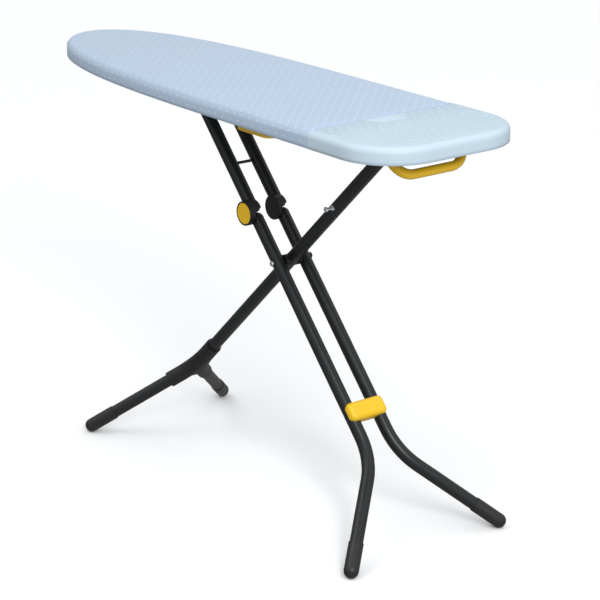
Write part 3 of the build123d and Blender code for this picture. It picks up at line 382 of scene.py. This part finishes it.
# ---------------------------------------------------------------- mesh helpers
def finish_piece(name, shape, material, body, smooth=True):
    """Turns a bmesh into a piece of the board that rides on a body."""
    bmesh.ops.recalc_face_normals(shape, faces=shape.faces)
    mesh = bpy.data.meshes.new(name)
    shape.to_mesh(mesh)
    shape.free()
    if smooth:
        mesh.shade_smooth()
    mesh.materials.append(material)
    piece = bpy.data.objects.new(name, mesh)
    bpy.context.scene.collection.objects.link(piece)
    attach(piece, body)
    return piece


def half_width(x, inset):
    """Half the width of the board outline, drawn in by inset, at x."""
    along = min(1.0, max(0.0, (X_SHOULDER - x) / (NOSE_LENGTH - inset)))
    return (HALF_BOARD - inset) * (1 - along ** NOSE_LONG_POWER) ** (1 / NOSE_WIDE_POWER)


def outline_points(inset):
    """Points round the board outline, drawn in by inset, anticlockwise from the nose tip."""
    nose_steps, side_steps, corner_steps, end_steps = 46, 22, 18, 10
    corner = CORNER_RADIUS - inset
    x_end, y_side = X_END - inset, HALF_BOARD - inset
    half = []
    for i in range(nose_steps + 1):
        x = X_SHOULDER - (NOSE_LENGTH - inset) * (1 - (i / nose_steps) ** 2)
        half.append((x, -half_width(x, inset)))
    for i in range(1, side_steps):
        half.append((X_SHOULDER + (x_end - corner - X_SHOULDER) * i / side_steps, -y_side))
    for i in range(corner_steps + 1):
        turn = pi / 2 * i / corner_steps
        half.append((x_end - corner + corner * sin(turn), corner - y_side - corner * cos(turn)))
    for i in range(1, end_steps // 2 + 1):
        half.append((x_end, (corner - y_side) * (1 - 2 * i / end_steps)))
    mirrored = [(x, -y) for x, y in reversed(half[1:-1])]
    return half + mirrored


def skin_shell(inset, top, x_low, x_high, cuts_x, cuts_y):
    """The padded skin as an open shell: outline extruded, top edge rolled, cut to length and gridded."""
    shape = bmesh.new()
    ring = [shape.verts.new((x, y, EDGE_BOTTOM)) for x, y in outline_points(inset)]
    base = shape.faces.new(ring)
    walls = bmesh.ops.extrude_face_region(shape, geom=[base])
    raised = [v for v in walls["geom"] if isinstance(v, bmesh.types.BMVert)]
    bmesh.ops.translate(shape, verts=raised, vec=(0, 0, top - EDGE_BOTTOM))
    bmesh.ops.delete(shape, geom=[base] if base.is_valid else [], context="FACES_ONLY")
    rim = [e for e in shape.edges if all(abs(v.co.z - top) < 1e-6 for v in e.verts)]
    bmesh.ops.bevel(shape, geom=rim, offset=EDGE_RADIUS, affect="EDGES", segments=8, profile=0.5, material=-1,
                    clamp_overlap=False)
    for place, clear in ((x_low, "clear_inner"), (x_high, "clear_outer")):
        bmesh.ops.bisect_plane(shape, geom=shape.verts[:] + shape.edges[:] + shape.faces[:], plane_co=(place, 0, 0),
                               plane_no=(1, 0, 0), **{clear: True})
    for count, axis, low, high in ((cuts_x, 0, x_low, x_high), (cuts_y, 1, -HALF_BOARD, HALF_BOARD)):
        normal = [1.0 if i == axis else 0.0 for i in range(3)]
        for i in range(1, count):
            spot = [0.0, 0.0, 0.0]
            spot[axis] = low + (high - low) * i / count
            flat = [f for f in shape.faces if f.normal.z > 0.99 or f.calc_area() > 2e-3]
            edges = {e for f in flat for e in f.edges}
            verts = {v for f in flat for v in f.verts}
            bmesh.ops.bisect_plane(shape, geom=list(verts) + list(edges) + flat, plane_co=spot, plane_no=normal)
    for height in (0.35, 0.7):
        level = EDGE_BOTTOM + (top - EDGE_RADIUS - EDGE_BOTTOM) * height
        bmesh.ops.bisect_plane(shape, geom=shape.verts[:] + shape.edges[:] + shape.faces[:],
                               plane_co=(0, 0, level), plane_no=(0, 0, 1))
    bmesh.ops.remove_doubles(shape, verts=shape.verts, dist=1e-6)
    return shape


def roll_edges(shape, test, steps):
    """Extrudes the open edges that pass the test through steps of (run along X, drop, tuck inwards)."""
    rim = [e for e in shape.edges if e.is_boundary and all(test(v) for v in e.verts)]
    for along, drop, tuck in steps:
        shape.normal_update()
        made = bmesh.ops.extrude_edge_only(shape, edges=rim)["geom"]
        rim = [e for e in made if isinstance(e, bmesh.types.BMEdge)]
        fresh = {v for e in rim for v in e.verts}
        moves = {}
        for vert in fresh:
            old = [e.other_vert(vert) for e in vert.link_edges if e.other_vert(vert) not in fresh][0]
            outward = Vector(old.normal)
            outward.x = 0 if along else outward.x
            outward.z = 0 if drop or not along else outward.z
            outward.normalize()
            moves[vert] = Vector((along, 0, -drop)) - outward * tuck
        for vert, move in moves.items():
            vert.co += move


def cloth_coordinates(shape, top):
    """UVs in metres on the cloth as cut: flat on top, run out over the rolled edge and down the wall."""
    layer = shape.loops.layers.uv.new("cloth")
    edge_level = top - EDGE_RADIUS
    shape.normal_update()
    spots = {}
    for vert in shape.verts:
        outward = Vector((vert.normal.x, vert.normal.y))
        if vert.co.z > top - 1e-5 or outward.length < 1e-4:
            spots[vert.index] = (vert.co.x, vert.co.y)
            continue
        outward.normalize()
        rise = min(1.0, max(0.0, (vert.co.z - edge_level) / EDGE_RADIUS))
        angle = acos(rise)
        spent = EDGE_RADIUS * (angle - sin(angle)) + max(0.0, edge_level - vert.co.z)
        spots[vert.index] = (vert.co.x + outward.x * spent, vert.co.y + outward.y * spent)
    for face in shape.faces:
        for loop in face.loops:
            loop[layer].uv = spots[loop.vert.index]


def swell_cloth(piece, pressure, frames, limit):
    """Lets the cover fill over its pad: a short cloth run held at the hem and seam, capped in travel."""
    mesh = piece.data
    rest = [v.co.copy() for v in mesh.vertices]
    held = piece.vertex_groups.new(name="held")
    for vert in mesh.vertices:
        depth = (vert.co.z - (FABRIC_TOP - EDGE_RADIUS * 1.2)) / (EDGE_RADIUS * 1.2)
        near_seam = vert.co.x > X_SEAM - 1e-4
        held.add([vert.index], 1.0 if depth < 0.2 or near_seam else max(0.0, 1 - 3 * (depth - 0.2)), "REPLACE")
    cloth = piece.modifiers.new("fill", "CLOTH")
    cloth.settings.vertex_group_mass = "held"
    cloth.settings.use_pressure = True
    cloth.settings.uniform_pressure_force = pressure
    cloth.settings.effector_weights.gravity = 0.0
    cloth.settings.quality = 6
    cloth.settings.tension_stiffness = 25
    cloth.settings.compression_stiffness = 25
    cloth.collision_settings.use_self_collision = False
    cloth.point_cache.frame_start = 1
    cloth.point_cache.frame_end = frames
    scene = bpy.context.scene
    for number in range(1, frames + 1):
        scene.frame_set(number)
    graph = bpy.context.evaluated_depsgraph_get()
    moved = [v.co.copy() for v in piece.evaluated_get(graph).data.vertices]
    piece.modifiers.remove(cloth)
    piece.vertex_groups.remove(held)
    scene.frame_set(1)
    for vert, before, after in zip(mesh.vertices, rest, moved):
        step = after - before
        if step.length > limit:
            step *= limit / step.length
        vert.co = before + step


def add_wall(piece, thickness):
    """A cloth or silicone wall, inwards from the outer surface."""
    wall = piece.modifiers.new("wall", "SOLIDIFY")
    wall.thickness = thickness
    wall.offset = -1
    return wall


# ---------------------------------------------------------------- pieces
def make_cover():
    """Dotted fabric, filled over its pad, with a gathered hem turned in under the board."""
    shape = skin_shell(FABRIC_STEP + 0.4 * MM, FABRIC_TOP, 2 * X_NOSE, X_SEAM + 1.5 * MM, 56, 16)
    bmesh.ops.recalc_face_normals(shape, faces=shape.faces)
    shape.verts.index_update()
    cloth_coordinates(shape, FABRIC_TOP)
    cover = finish_piece("board_cover", shape, FABRIC, "board")
    swell_cloth(cover, pressure=1.2, frames=14, limit=1.1 * MM)
    turn_hem(cover, HEM_TUCK)
    add_wall(cover, 1.6 * MM)
    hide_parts("fabric_cover")


def turn_hem(piece, widths):
    """Turns the bottom edge of a skin in under the board, waved where it is gathered."""
    shape = bmesh.new()
    shape.from_mesh(piece.data)
    bottom = min(v.co.z for v in shape.verts)
    rim = [e for e in shape.edges if e.is_boundary and all(v.co.z < bottom + 1e-4 for v in e.verts)]
    for tuck, rise, wave in widths:
        shape.normal_update()
        made = bmesh.ops.extrude_edge_only(shape, edges=rim)["geom"]
        rim = [e for e in made if isinstance(e, bmesh.types.BMEdge)]
        fresh = {v for e in rim for v in e.verts}
        for vert in fresh:
            inward = Vector((-max(0.0, vert.co.x - (X_END - CORNER_RADIUS)), -vert.co.y, 0))
            inward.x += max(0.0, X_SHOULDER - vert.co.x) * 0.12
            inward.normalize()
            ripple = sin(vert.co.x * 410) * cos(vert.co.y * 330)
            vert.co += inward * tuck + Vector((0, 0, rise + wave * ripple))
    bmesh.ops.recalc_face_normals(shape, faces=shape.faces)
    shape.to_mesh(piece.data)
    shape.free()
    piece.data.shade_smooth()


def make_rest():
    """Silicone iron rest: a rolled skin with a rounded seam end and a turned skirt."""
    shape = skin_shell(0.0, REST_TOP, X_SEAM + 1.4 * MM, 2 * X_END, 10, 12)
    roll_edges(shape, lambda v: v.co.x < X_SEAM + 1.5 * MM, SEAM_ROUNDING)
    rest = finish_piece("rest_skin", shape, SILICONE, "board")
    turn_hem(rest, SKIRT_TUCK)
    add_wall(rest, 2.0 * MM)
    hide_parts("iron_rest")


def tab_reach(y):
    """How far the plaque runs in from the seam at y."""
    near = min(1.0, max(0.0, (TAB_HALF_LENGTH - abs(y)) / TAB_TAPER))
    return TAB_DEPTH * near * near * (3 - 2 * near)


def make_plaque():
    """Blank raised plaque with flowing ends along the seam."""
    shape = bmesh.new()
    steps = 40
    seam = X_SEAM + 1.6 * MM
    ends = TAB_HALF_LENGTH - 1 * MM
    row = [shape.verts.new((seam + tab_reach(-ends + 2 * ends * i / steps), -ends + 2 * ends * i / steps,
                            REST_TOP - 0.4 * MM)) for i in range(steps + 1)]
    shape.faces.new(row)
    lift(shape, RELIEF + 0.4 * MM - 0.05 * MM, 0.45 * MM)
    finish_piece("rest_plaque", shape, SILICONE, "board")


def lift(shape, height, rounding):
    """Extrudes flat faces up to a height and rounds the upper edges."""
    base = shape.faces[:]
    made = bmesh.ops.extrude_face_region(shape, geom=base)["geom"]
    raised = [v for v in made if isinstance(v, bmesh.types.BMVert)]
    bmesh.ops.translate(shape, verts=raised, vec=(0, 0, height))
    bmesh.ops.delete(shape, geom=[f for f in base if f.is_valid], context="FACES_ONLY")
    level = max(v.co.z for v in shape.verts)
    rim = [e for e in shape.edges if all(v.co.z > level - 1e-6 for v in e.verts) and not e.is_boundary
           and len({round(f.normal.z) for f in e.link_faces}) > 1]
    shape.normal_update()
    rim = [e for e in shape.edges if all(v.co.z > level - 1e-6 for v in e.verts)
           and any(abs(f.normal.z) < 0.5 for f in e.link_faces)]
    bmesh.ops.bevel(shape, geom=rim, offset=rounding, affect="EDGES", segments=2, profile=0.5, material=-1)


def mark_places():
    """Staggered rows of arrow marks that keep clear of the edge, the seam and the plaque."""
    places = []
    for column in range(10):
        tip = X_SEAM + 12.9 * MM + column * MARK_COLUMN_PITCH
        for row in range(-9, 10):
            y = (row + 0.5 * ((column + 1) % 2)) * MARK_ROW_PITCH + 5 * MM
            corner_x = tip - (X_END - CORNER_RADIUS)
            corner_y = abs(y) - (HALF_BOARD - CORNER_RADIUS)
            reach = max(0.0, corner_x) ** 2 + max(0.0, corner_y) ** 2
            inside = reach ** 0.5 < CORNER_RADIUS - MARK_MARGIN
            if corner_x <= 0 or corner_y <= 0:
                inside = max(corner_x, corner_y) < CORNER_RADIUS - MARK_MARGIN
            if inside and tip - MARK_LENGTH - 4 * MM > X_SEAM + tab_reach(y) - 2 * MM:
                places.append((tip, y))
    return places


def make_marks():
    """Raised arrow marks, each a bent stroke with rounded shoulders."""
    shape = bmesh.new()
    for tip, y in mark_places():
        outer, inner = [], []
        for i in range(7):
            turn = -1 + i / 3
            back = MARK_LENGTH * abs(turn) ** 1.35
            side = MARK_HALF_WIDTH * turn
            outer.append((tip - back, y + side))
            inner.append((tip - back - MARK_STROKE, y + side * 0.82))
        ring = [shape.verts.new((px, py, REST_TOP - 0.4 * MM)) for px, py in outer + inner[::-1]]
        shape.faces.new(ring)
    bmesh.ops.recalc_face_normals(shape, faces=shape.faces)
    lift(shape, RELIEF + 0.4 * MM - 0.05 * MM, 0.35 * MM)
    finish_piece("rest_marks", shape, SILICONE, "board")


def make_floor():
    floor = bmesh.new()
    bmesh.ops.create_grid(floor, x_segments=2, y_segments=2, size=40.0)
    mesh = bpy.data.meshes.new("studio_floor")
    floor.to_mesh(mesh)
    floor.free()
    stage_floor = bpy.data.objects.new("studio_floor", mesh)
    stage_floor.location.z = cad_box[0][2]
    bpy.context.scene.collection.objects.link(stage_floor)
    material, tree, shader, _ = start_material("floor_white")
    shader.inputs["Base Color"].default_value = (0.96, 0.968, 0.975, 1)
    shader.inputs["Roughness"].default_value = 0.8
    shader.inputs["Specular IOR Level"].default_value = 0.0
    mesh.materials.append(material)
    stage_floor.visible_glossy = False
    stage_floor.visible_diffuse = False


def make_sky():
    """Studio surround: bright overhead, dimmer at the horizon and below, a little brighter towards +X."""
    world = bpy.data.worlds.new("studio")
    bpy.context.scene.world = world
    world.use_nodes = True
    tree = world.node_tree
    background = tree.nodes["Background"]
    direction = tree.nodes.new("ShaderNodeTexCoord")
    split = tree.nodes.new("ShaderNodeSeparateXYZ")
    tree.links.new(direction.outputs["Generated"], split.inputs[0])
    up = math_node(tree, "MAXIMUM", split.outputs["Z"], 0.0)
    level = math_node(tree, "MULTIPLY_ADD", up, SKY_RISE, SKY_HORIZON)
    level = math_node(tree, "MULTIPLY_ADD", split.outputs["X"], SKY_TILT, level)
    tree.links.new(math_node(tree, "MAXIMUM", level, 0.05), background.inputs["Strength"])
    background.inputs["Color"].default_value = (0.985, 0.992, 1.0, 1)


def make_light():
    make_sky()

    def area(name, place, aim, size, power):
        data = bpy.data.lights.new(name, "AREA")
        data.shape = "RECTANGLE"
        data.size, data.size_y = size
        data.energy = power
        lamp = bpy.data.objects.new(name, data)
        lamp.location = place
        lamp.rotation_euler = (Vector(aim) - Vector(place)).to_track_quat("-Z", "Y").to_euler()
        bpy.context.scene.collection.objects.link(lamp)

    area("front_softbox", (3.0, -1.2, 2.4), (0, 0, 0.4), (0.7, 1.6), 60)
    sun = bpy.data.lights.new("soft_sun", "SUN")
    sun.energy = 0.45
    sun.angle = radians(40)
    lamp = bpy.data.objects.new("soft_sun", sun)
    lamp.rotation_euler = Vector((0.5, 0.65, -1.3)).to_track_quat("-Z", "Y").to_euler()
    bpy.context.scene.collection.objects.link(lamp)


def make_view():
    """Plain screen colours, so that pale floor and pale board keep their tones."""
    view = bpy.context.scene.view_settings
    view.view_transform = "Standard"
    view.look = "None"


def make_camera():
    data = bpy.data.cameras.new("camera")
    data.sensor_width = 36.0
    data.lens = 129.54
    camera = bpy.data.objects.new("camera", data)
    camera.location = (3.2971, -2.4310, 1.7262)
    camera.rotation_euler = (radians(71.483), 0, radians(52.352))
    bpy.context.scene.collection.objects.link(camera)
    bpy.context.scene.camera = camera


make_camera()
make_view()
dress_cad_nodes()
make_cover()
make_rest()
make_plaque()
make_marks()
make_floor()
make_light()
